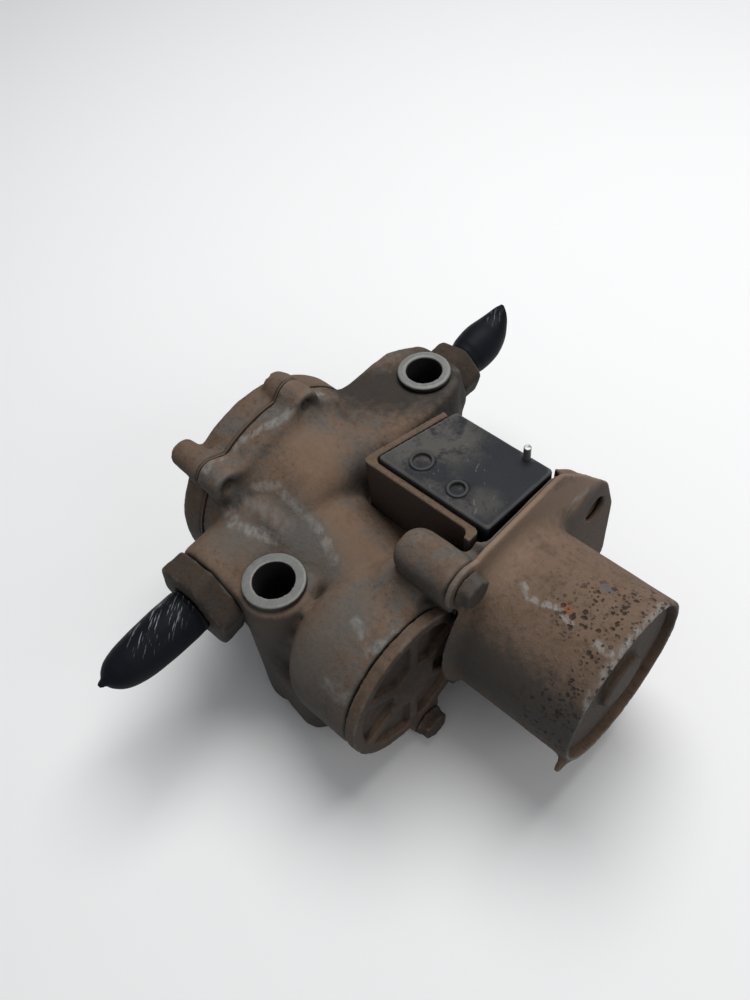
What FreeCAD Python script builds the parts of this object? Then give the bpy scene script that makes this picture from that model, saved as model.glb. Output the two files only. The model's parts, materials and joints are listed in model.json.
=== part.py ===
import FreeCAD, Part
import os
from math import acos, atan2, cos, degrees, hypot, pi, radians, sin, sqrt, tan

# Motor-driven rotary multiport valve: a cast body with a cross gallery, a ported rotor turned by a
# three-stage spur train, a flanged can motor and a relay held in a strap.
# The motor shaft is the X axis of the design frame; every part is moved to the part frame on export.

V = FreeCAD.Vector
AXES = {"x": V(1, 0, 0), "y": V(0, 1, 0), "z": V(0, 0, 1)}

# ---- driving dimensions, mm ----
base_z = -62.0            # plane of the feet, below the motor shaft
face_gap = 0.3            # air kept between curved faces on different bodies
run_fit = 0.06            # radial clearance of a running fit

can_r = 40.0
can_wall = 2.0
flange_x = 34.0           # joint between the body casting and the motor flange
flange_t = 3.0
can_end = 100.0
blend_r = 7.0             # radius drawn between the can and its flange

rotor_y = -16.0           # rotor axis
rotor_z = 0.0
rotor_r = 29.0
liner_t = 4.0
barrel_r = 45.0
barrel_x1 = -42.0
cover_x = -92.0           # joint between the body casting and the end cover
cover_t = 15.0
flange_face_x = -77.0     # front face of the body's end flange
end_flange_r = 52.5
ear_r = 8.0
# angle from +Y, distance from the rotor axis and front end of each screw ear
ears = ((75.0, 53.0, -102.0), (132.0, 56.0, -112.0), (240.0, 56.0, -107.5), (292.0, 56.0, -107.5),
        (345.0, 56.0, -107.5))

gallery_x = -64.0         # cross gallery axis, level at rotor_y
gallery_z = 11.0
gallery_fall = 2.7        # degrees the gallery falls towards the front so that it drains
gallery_r = 8.0
neck_r = 21.0
front_nut_y = -97.0
rear_nut_y = 89.0
nut_t = 13.0
sleeve_chamber_r = 14.5   # the waterway widens to pass round the rear bolt sleeve
front_thread = 10.0
rear_thread = 5.0

front_bore_x = -35.4
front_bore_y = -69.0
front_bore_top = 26.0
rear_bore_x = -60.6
rear_bore_y = 58.6
rear_bore_top = 38.0
front_sizes = (9.5, 11.7, 14.5)    # bore, sleeve and head radii
rear_sizes = (8.8, 10.8, 13.2)
sleeve_head_t = 3.0
boss_r = 17.0

case_r = 38.0
case_bearing = 168.2      # degrees from +Y, direction of the compound axis seen from the layshaft
gear_face_x = 25.0        # joint between the body casting and the gear cover
gear_cover_t = 6.0
cover_lug_r = 8.6

layshaft_axis = (-16.0, -16.0)
pressure_angle = 25.0
module = 1.0
motor_teeth = 16
idler_teeth = 17
wheel_teeth = 60
compound_teeth = 36
layshaft_teeth = 42
drive_teeth = 16          # layshaft pinion inside the rotor's ring gear
ring_teeth = 48
tooth_thinning = 0.16     # backlash cut from each tooth on the pitch circle
centre_slack = 0.05

relay_top = 51.0
shelf_z = 14.0
strap_t = 3.4


# ---- shape helpers ----
def turned(shape, axis, centre):
    """Turn a solid made along +Z so that it runs along an axis, then move it."""
    if axis == "x":
        shape.rotate(V(0, 0, 0), V(0, 1, 0), 90)
    if axis == "y":
        shape.rotate(V(0, 0, 0), V(1, 0, 0), -90)
    shape.translate(centre)
    return shape


def rod(axis, radius, start, end, u, v):
    """Cylinder along an axis from start to end; u and v are the other two coordinates in order."""
    centre = {"x": V(start, u, v), "y": V(u, start, v), "z": V(u, v, start)}[axis]
    return turned(Part.makeCylinder(radius, end - start), axis, centre)


def tube(axis, outer, inner, start, end, u, v):
    return rod(axis, outer, start, end, u, v).cut(rod(axis, inner, start - 1, end + 1, u, v))


def cone(axis, r_start, r_end, start, end, u, v):
    centre = {"x": V(start, u, v), "y": V(u, start, v), "z": V(u, v, start)}[axis]
    return turned(Part.makeCone(r_start, r_end, end - start), axis, centre)


def block(x0, x1, y0, y1, z0, z1):
    return Part.makeBox(x1 - x0, y1 - y0, z1 - z0, V(x0, y0, z0))


def join(*shapes):
    whole = shapes[0].multiFuse(list(shapes[1:]))
    return whole.removeSplitter()


def pick(shapes):
    """Group separate solids of one kind in one node."""
    solids = []
    for shape in shapes:
        solids.extend(shape.Solids)
    return Part.makeCompound(solids)


def prism(axis, points, start, end):
    """Straight prism of a closed outline given in the two coordinates other than axis."""
    def at(u, v):
        return {"x": V(start, u, v), "y": V(u, start, v), "z": V(u, v, start)}[axis]
    wire = Part.makePolygon([at(u, v) for u, v in points] + [at(*points[0])])
    return Part.Face(wire).extrude(AXES[axis] * (end - start))


def rounded_prism(axis, points, radius, start, end):
    """Prism of a polygon whose edges along the axis are rounded."""
    solid = prism(axis, points, start, end)
    edges = []
    for edge in solid.Edges:
        along = edge.Vertexes[1].Point - edge.Vertexes[0].Point
        if abs(along.normalize().dot(AXES[axis])) > 0.99:
            edges.append(edge)
    return solid.makeFillet(radius, edges)


def belt(axis, u0, v0, r0, u1, v1, r1, start, end):
    """Two rods of one axis joined by their outer tangents."""
    span = hypot(u1 - u0, v1 - v0)
    heading = atan2(v1 - v0, u1 - u0)
    lean = acos((r0 - r1) / span)
    outline = []
    for angle, u, v, r in ((heading + lean, u0, v0, r0), (heading + lean, u1, v1, r1),
                           (heading - lean, u1, v1, r1), (heading - lean, u0, v0, r0)):
        outline.append((u + r * cos(angle), v + r * sin(angle)))
    ends = (rod(axis, r0, start, end, u0, v0), rod(axis, r1, start, end, u1, v1))
    return join(prism(axis, outline, start, end), *ends)


def hexagon(axis, across_flats, start, end, u, v, turn=0.0):
    corner = across_flats / sqrt(3)
    outline = []
    for step in range(6):
        angle = radians(turn + 60 * step)
        outline.append((u + corner * cos(angle), v + corner * sin(angle)))
    return prism(axis, outline, start, end)


def soften(shape, radius, pick_edge):
    """Round the edges that pick_edge accepts."""
    edges = [edge for edge in shape.Edges if pick_edge(edge)]
    return shape.makeFillet(radius, edges)


def rim(axis, position):
    """Edge test: a circle in the plane where the axis coordinate equals position."""
    def test(edge):
        box = edge.BoundBox
        low = {"x": box.XMin, "y": box.YMin, "z": box.ZMin}[axis]
        high = {"x": box.XMax, "y": box.YMax, "z": box.ZMax}[axis]
        return abs(low - position) < 1e-4 and abs(high - position) < 1e-4
    return test


def ring_points(count, radius, u, v, first=0.0):
    points = []
    for step in range(count):
        angle = radians(first + 360.0 * step / count)
        points.append((u + radius * cos(angle), v + radius * sin(angle)))
    return points


# ---- gear geometry, all in the Y-Z plane ----
def pitch_r(teeth):
    return teeth * module / 2.0


def centre_distance(teeth_a, teeth_b):
    return pitch_r(teeth_a) + pitch_r(teeth_b) + centre_slack


def circle_meet(centre_a, radius_a, centre_b, radius_b):
    """Upper crossing of two circles in the Y-Z plane."""
    dy = centre_b[0] - centre_a[0]
    dz = centre_b[1] - centre_a[1]
    span = hypot(dy, dz)
    along = (span ** 2 + radius_a ** 2 - radius_b ** 2) / (2 * span)
    rise = sqrt(radius_a ** 2 - along ** 2)
    y = centre_a[0] + (along * dy + rise * dz) / span
    z = centre_a[1] + (along * dz - rise * dy) / span
    return (y, z)


def spur(teeth, start, end, centre, phase, addendum=1.0, dedendum=1.25, thinning=tooth_thinning):
    """Involute spur gear along X; phase is the angle of one tooth's middle.
    Addendum and dedendum are in modules; a negative thinning makes the cutter of a ring gear."""
    pitch = pitch_r(teeth)
    base = pitch * cos(radians(pressure_angle))
    tip = pitch + addendum * module
    root = pitch - dedendum * module

    def roll(radius):
        angle = acos(base / radius)
        return tan(angle) - angle

    half = pi / (2 * teeth) - thinning / (2 * pitch) + roll(pitch)
    flank = []
    first = max(base, root)
    for step in range(5):
        radius = first + (tip - first) * step / 4.0
        flank.append((radius, half - roll(radius)))
    if root < base:
        flank.insert(0, (root, half))
    outline = []
    for tooth in range(teeth):
        middle = phase + 2 * pi * tooth / teeth
        for radius, angle in flank:
            outline.append((radius, middle - angle))
        for radius, angle in reversed(flank):
            outline.append((radius, middle + angle))
    points = []
    for radius, angle in outline:
        points.append((centre[0] + radius * cos(angle), centre[1] + radius * sin(angle)))
    return prism("x", points, start, end)


def mate_phase(phase, teeth_a, heading_ab, teeth_b):
    """Phase of gear b so that a gap of b faces a tooth of gear a on their line of centres."""
    step = 2 * pi / teeth_a
    offset = (phase - heading_ab + step / 2) % step - step / 2
    return heading_ab + pi - offset * teeth_a / teeth_b + pi / teeth_b


def ring_phase(phase, teeth_a, heading_ba, teeth_b):
    """Phase of a ring gear's cutter so that its gap takes the tooth of the pinion inside it."""
    step = 2 * pi / teeth_a
    offset = (phase - heading_ba + step / 2) % step - step / 2
    return heading_ba + offset * teeth_a / teeth_b


def heading(a, b):
    return atan2(b[1] - a[1], b[0] - a[0])


motor_axis = (0.0, 0.0)
rotor_axis = (rotor_y, rotor_z)
case_reach = centre_distance(compound_teeth, layshaft_teeth)
case_y = layshaft_axis[0] + case_reach * cos(radians(case_bearing))
case_z = layshaft_axis[1] + case_reach * sin(radians(case_bearing))
wheel_axis = (case_y, case_z)
idler_axis = circle_meet(motor_axis, centre_distance(motor_teeth, idler_teeth),
                         wheel_axis, centre_distance(idler_teeth, wheel_teeth))
motor_phase = heading(motor_axis, idler_axis)
idler_phase = mate_phase(motor_phase, motor_teeth, motor_phase, idler_teeth)
wheel_phase = mate_phase(idler_phase, idler_teeth, heading(idler_axis, wheel_axis), wheel_teeth)
compound_phase = heading(wheel_axis, layshaft_axis)
layshaft_phase = mate_phase(compound_phase, compound_teeth, compound_phase, layshaft_teeth)
drive_phase = heading(rotor_axis, layshaft_axis)
ring_gear_phase = ring_phase(drive_phase, drive_teeth, drive_phase, ring_teeth)

# stations along X
wheel_x0 = 15.0
wheel_x1 = 22.0
compound_x0 = -9.0
compound_x1 = 2.0
rotor_x0 = -88.0
rotor_x1 = -46.0
bore_x1 = -44.0           # blind end of the rotor bore
liner_r = rotor_r + run_fit + liner_t
shaft_r = 4.0
idler_pin_r = 2.5

nodes = {}


# ---- fasteners ----
def flange_bolt(axis, size, grip, tip, u, v, sign=1):
    """Hex flange bolt: head at grip, shank ending at tip; sign is the side the head is on."""
    head = 0.62 * size
    if sign > 0:
        shank = rod(axis, size / 2 - 0.2, tip, grip, u, v)
        collar = rod(axis, size * 1.05, grip, grip + 0.2 * size, u, v)
        top = hexagon(axis, 1.62 * size, grip + 0.2 * size, grip + 0.2 * size + head, u, v, 15)
    else:
        shank = rod(axis, size / 2 - 0.2, grip, tip, u, v)
        collar = rod(axis, size * 1.05, grip - 0.2 * size, grip, u, v)
        top = hexagon(axis, 1.62 * size, grip - 0.2 * size - head, grip - 0.2 * size, u, v, 15)
    return join(shank, collar, top)


ear_points = []
ear_ends = []
for ear_angle, ear_reach, ear_end in ears:
    turn = radians(ear_angle)
    ear_points.append((rotor_y + ear_reach * cos(turn), rotor_z + ear_reach * sin(turn)))
    ear_ends.append(ear_end)

gear_bolt = (-49.0, -53.0)
gear_screws = ((-17.0, -34.0), (-22.0, 18.0))
cover_lugs = (gear_bolt,) + gear_screws
top_bolt = (-26.5, 42.4)
motor_bolts = (top_bolt, (38.0, -36.0))
flange_ear = (70.0, -5.0)
ear_hole_r = 7.0


def fall(shape):
    """Tilt a gallery piece, made level, to the gallery's real fall."""
    shape.rotate(V(gallery_x, rotor_y, gallery_z), V(1, 0, 0), gallery_fall)
    return shape


# ---- body casting ----
def flange_web(x0, x1, ear_radius):
    """Round flange with its ears carried out on tapering webs."""
    parts = [rod("x", end_flange_r, x0, x1, rotor_y, rotor_z)]
    for y, z in ear_points:
        root_y = rotor_y + 0.62 * (y - rotor_y)
        root_z = rotor_z + 0.62 * (z - rotor_z)
        parts.append(belt("x", root_y, root_z, 16.0, y, z, ear_radius, x0, x1))
    return parts


def body_outside():
    parts = flange_web(cover_x + 1, flange_face_x, ear_r)
    barrel = rod("x", barrel_r, flange_face_x - 2, barrel_x1, rotor_y, rotor_z)
    parts.append(soften(barrel, 14.0, rim("x", barrel_x1)))
    parts.append(cone("x", barrel_r + 4, barrel_r, flange_face_x, flange_face_x + 5, rotor_y, rotor_z))
    # necks of the cross gallery, the front one stepped where it leaves the barrel
    front_y = front_nut_y + nut_t
    rear_y = rear_nut_y - nut_t
    parts.append(fall(rod("y", neck_r + 1, front_y, rotor_y, gallery_x, gallery_z)))
    step_ring = rod("y", neck_r + 6, -54, rotor_y, gallery_x + 3, gallery_z - 3)
    parts.append(soften(step_ring, 2.5, rim("y", -54)))
    parts.append(fall(rod("y", neck_r - 3, rotor_y, rear_y, gallery_x, gallery_z)))
    # front bolt boss, its web to the barrel and the foot web to the gear case
    fx = front_bore_x
    fy = front_bore_y
    front_top = front_bore_top - sleeve_head_t
    front_boss = rod("z", boss_r, base_z, front_top, fx, fy)
    parts.append(soften(front_boss, 2.0, rim("z", front_top)))
    parts.append(rounded_prism("z", [(-58, -16), (-58, -58), (-40, -80), (-14, -80), (-14, -16)],
                               9.0, -40, 6))
    parts.append(belt("z", fx, fy, boss_r - 1, -11, -78, 11, -54, -20))
    parts.append(belt("z", fx, fy, boss_r - 2.5, -6, -66, 12, -50, 0))
    # rear bolt boss and its wing
    rx = rear_bore_x
    ry = rear_bore_y
    rear_top = rear_bore_top - sleeve_head_t
    wing = rounded_prism("z", [(-87, 13), (-88, 59), (-78, 75), (-50, 75), (-42, 62), (-42, 13)],
                         5.0, -26, rear_top)
    parts.append(soften(wing, 3.0, rim("z", rear_top)))
    parts.append(rod("z", boss_r, base_z, -10, rx, ry))
    # gear case with its foot
    case = rod("x", case_r, -18, gear_face_x, case_y, case_z)
    parts.append(soften(case, 16.0, rim("x", -18)))
    parts.append(rod("z", 8.0, base_z, case_z - 20, 14, -54))
    for y, z in cover_lugs:
        boss = rod("x", cover_lug_r, -2, gear_face_x, y, z)
        parts.append(soften(boss, 5.0, rim("x", -2)))
    # middle housing under the relay
    parts.append(rounded_prism("x", [(-36, -42), (-36, 2), (-24, 11), (-10, 11), (-5, shelf_z),
                                     (44, shelf_z), (44, -42)], 3.0, barrel_x1 - 4, flange_x))
    # boss of the top motor bolt and the shoulder below it
    knob = rod("x", 11.0, 3, flange_x, *top_bolt)
    parts.append(soften(knob, 7.0, rim("x", 3)))
    shoulder = rod("x", 24.0, -6, flange_x - 12, -34, 10)
    parts.append(soften(shoulder, 12.0, rim("x", -6)))
    parts.append(cone("x", 36.0, 27.0, -48, -8, -34, -2))
    parts.append(belt("x", *top_bolt, 10.5, -14, 8, 14.0, 6, flange_x))
    # pad behind the motor flange, with its foot
    parts.append(rounded_prism("x", [(-22, -44), (-22, 30), (-9, 50.5), (37, 50.5), (58, 29.6),
                                     (77.6, 6), (85.4, -16), (84.5, base_z), (61, base_z), (44, -50),
                                     (20, -50)], 7.0, 25, flange_x))
    return join(*parts)


def chamber(start, end, *stops):
    """Cavity along X: each stop is an axis with a radius, joined to the next by tangents."""
    cuts = []
    for (axis_a, r_a), (axis_b, r_b) in zip(stops[:-1], stops[1:]):
        if r_a >= r_b:
            cuts.append(belt("x", *axis_a, r_a, *axis_b, r_b, start, end))
        else:
            cuts.append(belt("x", *axis_b, r_b, *axis_a, r_a, start, end))
    return cuts


def cover_outline(grow, start, end):
    """Plan of the gear cover, grown all round, as a solid along X."""
    shell = [rod("x", case_r + grow, start, end, case_y, case_z)]
    for y, z in cover_lugs:
        shell.append(belt("x", y, z, cover_lug_r + grow, case_y + 0.5 * (y - case_y),
                          case_z + 0.5 * (z - case_z), 12.0 + grow, start, end))
    return join(*shell)


def body_inside():
    cuts = [rod("x", liner_r, cover_x, bore_x1, rotor_y, rotor_z)]
    cuts.append(fall(rod("y", gallery_r, -110, 110, gallery_x, gallery_z)))
    cuts.append(rod("z", sleeve_chamber_r, 5, 24, rear_bore_x, rear_bore_y))
    # first stage chamber, open at the cover face and at the motor flange
    cuts.append(rod("x", pitch_r(wheel_teeth) + 3.2, 11, gear_face_x + 1, *wheel_axis))
    cuts.extend(chamber(11, gear_face_x - 1, (wheel_axis, 20.0), (idler_axis, pitch_r(idler_teeth) + 3.2),
                        (motor_axis, pitch_r(motor_teeth) + 3.2)))
    cuts.append(rod("x", pitch_r(motor_teeth) + 3.2, 11, flange_x + 1, *motor_axis))
    cuts.append(rod("x", 13.0, flange_x - 5, flange_x + 1, *motor_axis))
    # second stage chamber; the compound pinion passes through the web to reach it
    cuts.extend(chamber(compound_x0 - 2, 3, (wheel_axis, pitch_r(compound_teeth) + 3.2),
                        (layshaft_axis, pitch_r(layshaft_teeth) + 3.2)))
    cuts.append(rod("x", pitch_r(compound_teeth) + 3.2, compound_x0 - 2, 12, *wheel_axis))
    # steel sleeves, bolts, pins and bushes
    for x, y, top, sizes in ((front_bore_x, front_bore_y, front_bore_top, front_sizes),
                             (rear_bore_x, rear_bore_y, rear_bore_top, rear_sizes)):
        cuts.append(rod("z", sizes[1], base_z - 1, top, x, y))
        cuts.append(rod("z", sizes[2] + 0.6, top - sleeve_head_t, top + 30, x, y))
    for y, z in ear_points:
        cuts.append(rod("x", 3.2, cover_x, flange_face_x + 1, y, z))
    for y, z in cover_lugs:
        cuts.append(rod("x", 3.8, 6, gear_face_x + 1, y, z))
    for y, z in motor_bolts:
        cuts.append(rod("x", 3.8, 12, flange_x + 1, y, z))
    cuts.append(rod("x", ear_hole_r, 20, flange_x + 1, *flange_ear))
    cuts.append(rod("x", shaft_r, compound_x0 - 12, compound_x0, *wheel_axis))
    cuts.append(rod("x", idler_pin_r, 4, 12, *idler_axis))
    cuts.append(rod("x", shaft_r + 2, bore_x1 - 1, compound_x0, *layshaft_axis))
    cuts.append(rod("x", shaft_r + 2, 2, 10, *layshaft_axis))
    # threads of the gland nuts and the water line groove beside the wing
    front_y = front_nut_y + nut_t
    rear_y = rear_nut_y - nut_t
    cuts.append(fall(rod("y", 13.0, front_y - 1, front_y + front_thread + 0.5, gallery_x, gallery_z)))
    cuts.append(fall(rod("y", 13.0, rear_y - rear_thread - 0.5, rear_y + 1, gallery_x, gallery_z)))
    # room round the front gland nut
    cuts.append(fall(rod("y", 24.4, front_nut_y - 4, front_y, gallery_x, gallery_z)))
    # pocket for the relay and its strap, and a level seat for the gear cover
    cuts.append(block(-41, 32.0, -8.2, 46, shelf_z, 60))
    cuts.append(block(18.8, 27.0, -14.0, -8, shelf_z, 60))
    cuts.append(cover_outline(0.4, gear_face_x, flange_x + 1))
    cuts.append(block(-70, -50, 14.6, 16.4, rear_bore_top - sleeve_head_t - 3, 60))
    return cuts


nodes["valve_body"] = body_outside().cut(body_inside())

for end, x, y, top, sizes in (("front", front_bore_x, front_bore_y, front_bore_top, front_sizes),
                              ("rear", rear_bore_x, rear_bore_y, rear_bore_top, rear_sizes)):
    bore_r, sleeve_r, head_r = sizes
    head = rod("z", head_r, top - sleeve_head_t, top, x, y)
    sleeve = join(rod("z", sleeve_r, base_z, top, x, y), soften(head, 0.8, rim("z", top)))
    nodes[end + "_bolt_sleeve"] = sleeve.cut(rod("z", bore_r, base_z - 1, top + 1, x, y))

# ---- end cover ----
cover_out_x = cover_x - cover_t
plate = soften(rod("x", end_flange_r, cover_out_x, cover_x, rotor_y, rotor_z), 4.0, rim("x", cover_out_x))
cover_parts = flange_web(cover_x - 5, cover_x, ear_r)
cover_parts.append(plate)
cover_parts.append(cone("x", 26.0, 36.0, cover_out_x - 4, cover_out_x + 0.5, rotor_y, rotor_z))
for (y, z), end_x in zip(ear_points, ear_ends):
    ear = cone("x", ear_r - 1.2, ear_r, end_x, cover_x, y, z)
    cover_parts.append(soften(ear, 1.0, rim("x", end_x)))
cover = join(*cover_parts)
cuts = [rod("x", 12.0 + run_fit, cover_x - 6, cover_x + 1, rotor_y, rotor_z)]
for (y, z), end_x in zip(ear_points, ear_ends):
    cuts.append(rod("x", 3.4, end_x - 1, cover_x + 1, y, z))
    cuts.append(rod("x", 5.2, end_x - 1, end_x + 5, y, z))
nodes["end_cover"] = cover.cut(cuts)

gasket_cuts = [rod("x", liner_r + 2, cover_x - 1, cover_x + 2, rotor_y, rotor_z)]
gasket_cuts.extend([rod("x", 3.4, cover_x - 1, cover_x + 2, y, z) for y, z in ear_points])
gasket = join(*flange_web(cover_x, cover_x + 1, ear_r - 1))
gasket = gasket.common(rod("x", 70, cover_x, cover_x + 1, rotor_y, rotor_z))
nodes["end_cover_gasket"] = gasket.cut(gasket_cuts)

screws = []
for (y, z), end_x in zip(ear_points, ear_ends):
    head = rod("x", 5.0, end_x + 0.4, end_x + 5, y, z)
    head = head.cut(hexagon("x", 5.0, end_x, end_x + 3, y, z))
    screws.append(join(head, rod("x", 3.0, end_x + 4, flange_face_x - 4, y, z)))
nodes["end_cover_screws"] = pick(screws)

# ---- rotor, its liner, seals and ring gear ----
waterway = fall(rod("y", gallery_r, -110, 110, gallery_x, gallery_z))
liner = tube("x", liner_r, rotor_r + run_fit, rotor_x0 - 2, rotor_x1 + 1, rotor_y, rotor_z)
nodes["port_liner"] = liner.cut(waterway)

seal_x = (-85.6, -77.4, -55.2)
seal_t = 2.6
rotor_parts = [rod("x", rotor_r, rotor_x0, rotor_x1 - 5.5, rotor_y, rotor_z),
               rod("x", 12.0, cover_x - 5, rotor_x0, rotor_y, rotor_z)]
grooves = [tube("x", rotor_r + 1, rotor_r - 2.4, x, x + seal_t, rotor_y, rotor_z) for x in seal_x]
nodes["valve_rotor"] = join(*rotor_parts).cut([waterway] + grooves)
nodes["rotor_seals"] = pick([tube("x", rotor_r - 0.3, rotor_r - 2.4, x, x + seal_t, rotor_y, rotor_z)
                             for x in seal_x])
ring = rod("x", rotor_r - 0.3, rotor_x1 - 5.5, rotor_x1 + 1, rotor_y, rotor_z)
ring_cutter = spur(ring_teeth, rotor_x1 - 7, rotor_x1 + 2, rotor_axis, ring_gear_phase,
                   1.25, 0.9, -tooth_thinning)
nodes["rotor_ring_gear"] = ring.cut(ring_cutter)
nodes["thrust_washer"] = tube("x", 24.0, 12.5, cover_x + 1, rotor_x0 - 0.3, rotor_y, rotor_z)

# ---- gear train ----
layshaft_end = rotor_x1 - 5.0
nodes["layshaft"] = rod("x", shaft_r, layshaft_end, 10, *layshaft_axis)
nodes["layshaft_pinion"] = spur(drive_teeth, layshaft_end, rotor_x1 + 0.6, layshaft_axis, drive_phase).cut(
    rod("x", shaft_r, -60, 20, *layshaft_axis))
bushes = []
for x0, x1 in ((bore_x1, bore_x1 + 10), (compound_x0 - 12, compound_x0 - 2), (3, 10)):
    bushes.append(tube("x", shaft_r + 2, shaft_r + run_fit, x0, x1, *layshaft_axis))
nodes["layshaft_bushes"] = pick(bushes)
lay_cuts = [rod("x", shaft_r, -60, 20, *layshaft_axis)]
lay_cuts.extend([rod("x", 4.0, -20, 20, y, z) for y, z in ring_points(5, 12.5, *layshaft_axis, 20)])
nodes["layshaft_gear"] = spur(layshaft_teeth, compound_x0, compound_x1, layshaft_axis,
                              layshaft_phase).cut(lay_cuts)

hub_r = 8.0
wheel_cuts = [rod("x", hub_r, wheel_x0 - 1, wheel_x1 + 1, *wheel_axis)]
wheel_cuts.extend([rod("x", 5.0, 0, 40, y, z) for y, z in ring_points(6, 19.0, *wheel_axis, 10)])
nodes["compound_wheel"] = spur(wheel_teeth, wheel_x0, wheel_x1, wheel_axis, wheel_phase).cut(wheel_cuts)
pinion = join(spur(compound_teeth, compound_x0 - 0.5, compound_x1 + 0.5, wheel_axis, compound_phase),
              rod("x", hub_r, compound_x1, wheel_x1 + 0.5, *wheel_axis))
nodes["compound_pinion"] = pinion.cut(rod("x", shaft_r + run_fit, -40, 40, *wheel_axis))
nodes["compound_pin"] = rod("x", shaft_r, compound_x0 - 12, gear_face_x + 3, *wheel_axis)
nodes["idler_gear"] = spur(idler_teeth, wheel_x0 - 1, wheel_x1 + 1, idler_axis, idler_phase).cut(
    rod("x", idler_pin_r + run_fit, 0, 40, *idler_axis))
nodes["idler_pin"] = rod("x", idler_pin_r, 4.0, wheel_x1 + 1.5, *idler_axis)

# ---- gear cover, ribbed on the outside ----
cover_out = gear_face_x + gear_cover_t
gear_cover = cover_outline(0.0, gear_face_x, cover_out)
pockets = []
pocket_ring = tube("x", case_r - 6, 13.0, cover_out - 3.5, cover_out + 1, case_y, case_z)
for rib in range(6):
    angle = radians(25 + 60 * rib)
    arm = block(cover_out - 4, cover_out + 2, 0, case_r, -2.6, 2.6)
    arm.rotate(V(0, 0, 0), V(1, 0, 0), degrees(angle))
    arm.translate(V(0, case_y, case_z))
    pockets.append(arm)
pocket_ring = pocket_ring.cut(pockets)
keep = [rod("x", 11.0, gear_face_x, cover_out + 2, y, z) for y, z in cover_lugs]
gear_cover = gear_cover.cut(pocket_ring.cut(keep))
gear_cover = gear_cover.cut([rod("x", 4.0, gear_face_x - 1, gear_face_x + 3, *wheel_axis)]
                            + [rod("x", 4.2, gear_face_x - 1, cover_out + 1, y, z) for y, z in cover_lugs]
                            + [rod("x", 6.2, cover_out - 3.5, cover_out + 1, y, z) for y, z in gear_screws])
nodes["gear_cover"] = gear_cover
cover_fasteners = [flange_bolt("x", 8.0, cover_out, 9.0, *gear_bolt)]
for y, z in gear_screws:
    head = rod("x", 6.0, cover_out - 3.5, cover_out + 1, y, z)
    head = head.cut(hexagon("x", 5.0, cover_out - 1.5, cover_out + 2, y, z))
    cover_fasteners.append(join(head, rod("x", 3.8, 9.0, cover_out - 3.5, y, z)))
nodes["gear_cover_bolts"] = pick(cover_fasteners)

# ---- gallery ends: gland nuts, barbs, seals, boots ----
def bent_solid(stations):
    """Round solid through stations (y, z, radius) in the plane of the gallery."""
    wires = []
    for index, (y, z, radius) in enumerate(stations):
        before = stations[max(index - 1, 0)]
        after = stations[min(index + 1, len(stations) - 1)]
        along = V(0, after[0] - before[0], after[1] - before[1])
        wires.append(Part.Wire(Part.makeCircle(radius, V(gallery_x, y, z), along)))
    return Part.makeLoft(wires, True, False)


def gallery_end(name, sign, face_y, across, thread, stations):
    """One end of the cross gallery; sign is its side and face_y the nut's outside face."""
    def reach(near, far, radius):
        ends = sorted((face_y + sign * near, face_y + sign * far))
        return rod("y", radius, ends[0], ends[1], gallery_x, gallery_z)

    ends = sorted((face_y - sign * nut_t, face_y))
    nut = hexagon("y", across, ends[0], ends[1], gallery_x, gallery_z, 11)
    nut = nut.common(reach(-nut_t, 0, across / sqrt(3) - 0.8))
    nut = join(nut, reach(-nut_t - thread, -nut_t, 12.9))
    nut = nut.cut([reach(-nut_t - 12, 1, gallery_r), reach(-9, 1, 11.0)])
    nodes[name + "_gland_nut"] = fall(nut)
    seal = reach(-9, -6.6, 11.0).cut(reach(-10, 0, gallery_r))
    nodes[name + "_gland_seal"] = fall(seal)
    barb = [reach(-6.6, 12, 6.0), reach(-6.6, 0, 11.0)]
    for ridge in (3.0, 7.5):
        near = face_y + sign * ridge
        far = face_y + sign * (ridge + 3.5)
        if sign > 0:
            barb.append(cone("y", 7.2, 6.0, near, far, gallery_x, gallery_z))
        else:
            barb.append(cone("y", 6.0, 7.2, far, near, gallery_x, gallery_z))
    nodes[name + "_hose_barb"] = fall(join(*barb).cut(reach(-8, 14, 4.2)))
    boot = bent_solid(stations)
    nodes[name + "_port_boot"] = boot.cut(fall(reach(-1, 14, 7.3)))


gallery_end("front", -1, front_nut_y, 41.0, front_thread,
            ((-97.6, 7.15, 11.4), (-101, 6.99, 11.6), (-112, 6.6, 11.6), (-126, 6.2, 11.0),
             (-137, 7.2, 8.6), (-143, 8.6, 5.0), (-146, 9.4, 2.0)))
gallery_end("rear", 1, rear_nut_y, 28.0, rear_thread,
            ((89.6, 15.98, 9.2), (93, 16.14, 9.6), (99, 17.0, 10.6), (107, 18.6, 10.6), (114, 21.2, 8.6),
             (119.5, 25.5, 5.6), (123.5, 31.0, 2.0)))

# ---- motor ----
outline = [(-22, -46), (-22, 52), (38, 52), (59, 31), (79, 7), (87, -16), (86, base_z), (62, base_z),
           (44, -52), (16, -52)]
flange = rounded_prism("x", outline, 9.0, flange_x, flange_x + flange_t)
flange = join(flange, belt("x", -8, 30, 16.0, *top_bolt, 11.0, flange_x, flange_x + flange_t))
shell_x = flange_x + flange_t
# drawn blend between flange and can: a ring with a quarter-round outside
blend = rod("x", can_r + blend_r, shell_x, shell_x + blend_r, 0, 0)
hollow = Part.makeTorus(can_r + blend_r, blend_r)
blend = blend.cut(turned(hollow, "x", V(shell_x + blend_r, 0, 0)))
drawn = join(flange, blend.common(rod("x", can_r + blend_r, 0, 60, 0, 0)),
             rod("x", can_r, shell_x, can_end, 0, 0))
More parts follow.
